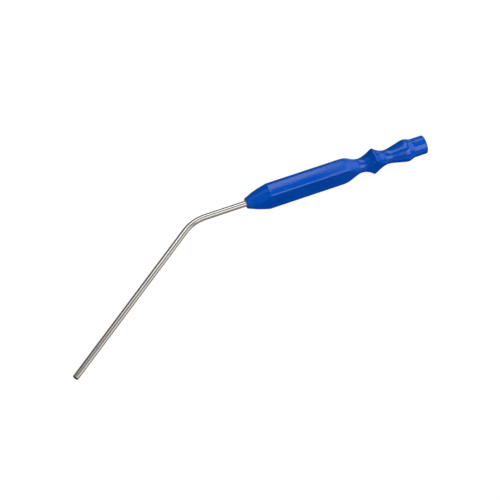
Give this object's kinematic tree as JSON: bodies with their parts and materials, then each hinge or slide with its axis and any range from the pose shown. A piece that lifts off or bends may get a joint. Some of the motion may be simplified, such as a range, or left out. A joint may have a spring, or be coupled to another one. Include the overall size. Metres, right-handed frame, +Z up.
{
  "type": "dental suction tip",
  "caption": "Reusable dental suction tip: a bent steel cannula bonded into a blue moulded handle with two grip flats, a finger collar and a spigot for the suction hose.",
  "frame": {"origin": "middle of the part's outline on the table that it lies on", "axes": "+X along the handle from the nose to the hose spigot, +Z up from the table; the cannula bends towards -Y and its tip touches the table"},
  "size_m": [0.206, 0.0653, 0.0145],
  "materials": {
    "polished_steel": "drawn and bright polished",
    "adhesive": "cured clear epoxy, slightly amber",
    "blue_plastic": "glossy as moulded"
  },
  "bodies": {
    "root": {"steel_cannula": "polished_steel", "bond_sleeve": "adhesive", "handle": "blue_plastic"}
  },
  "joints": []
}
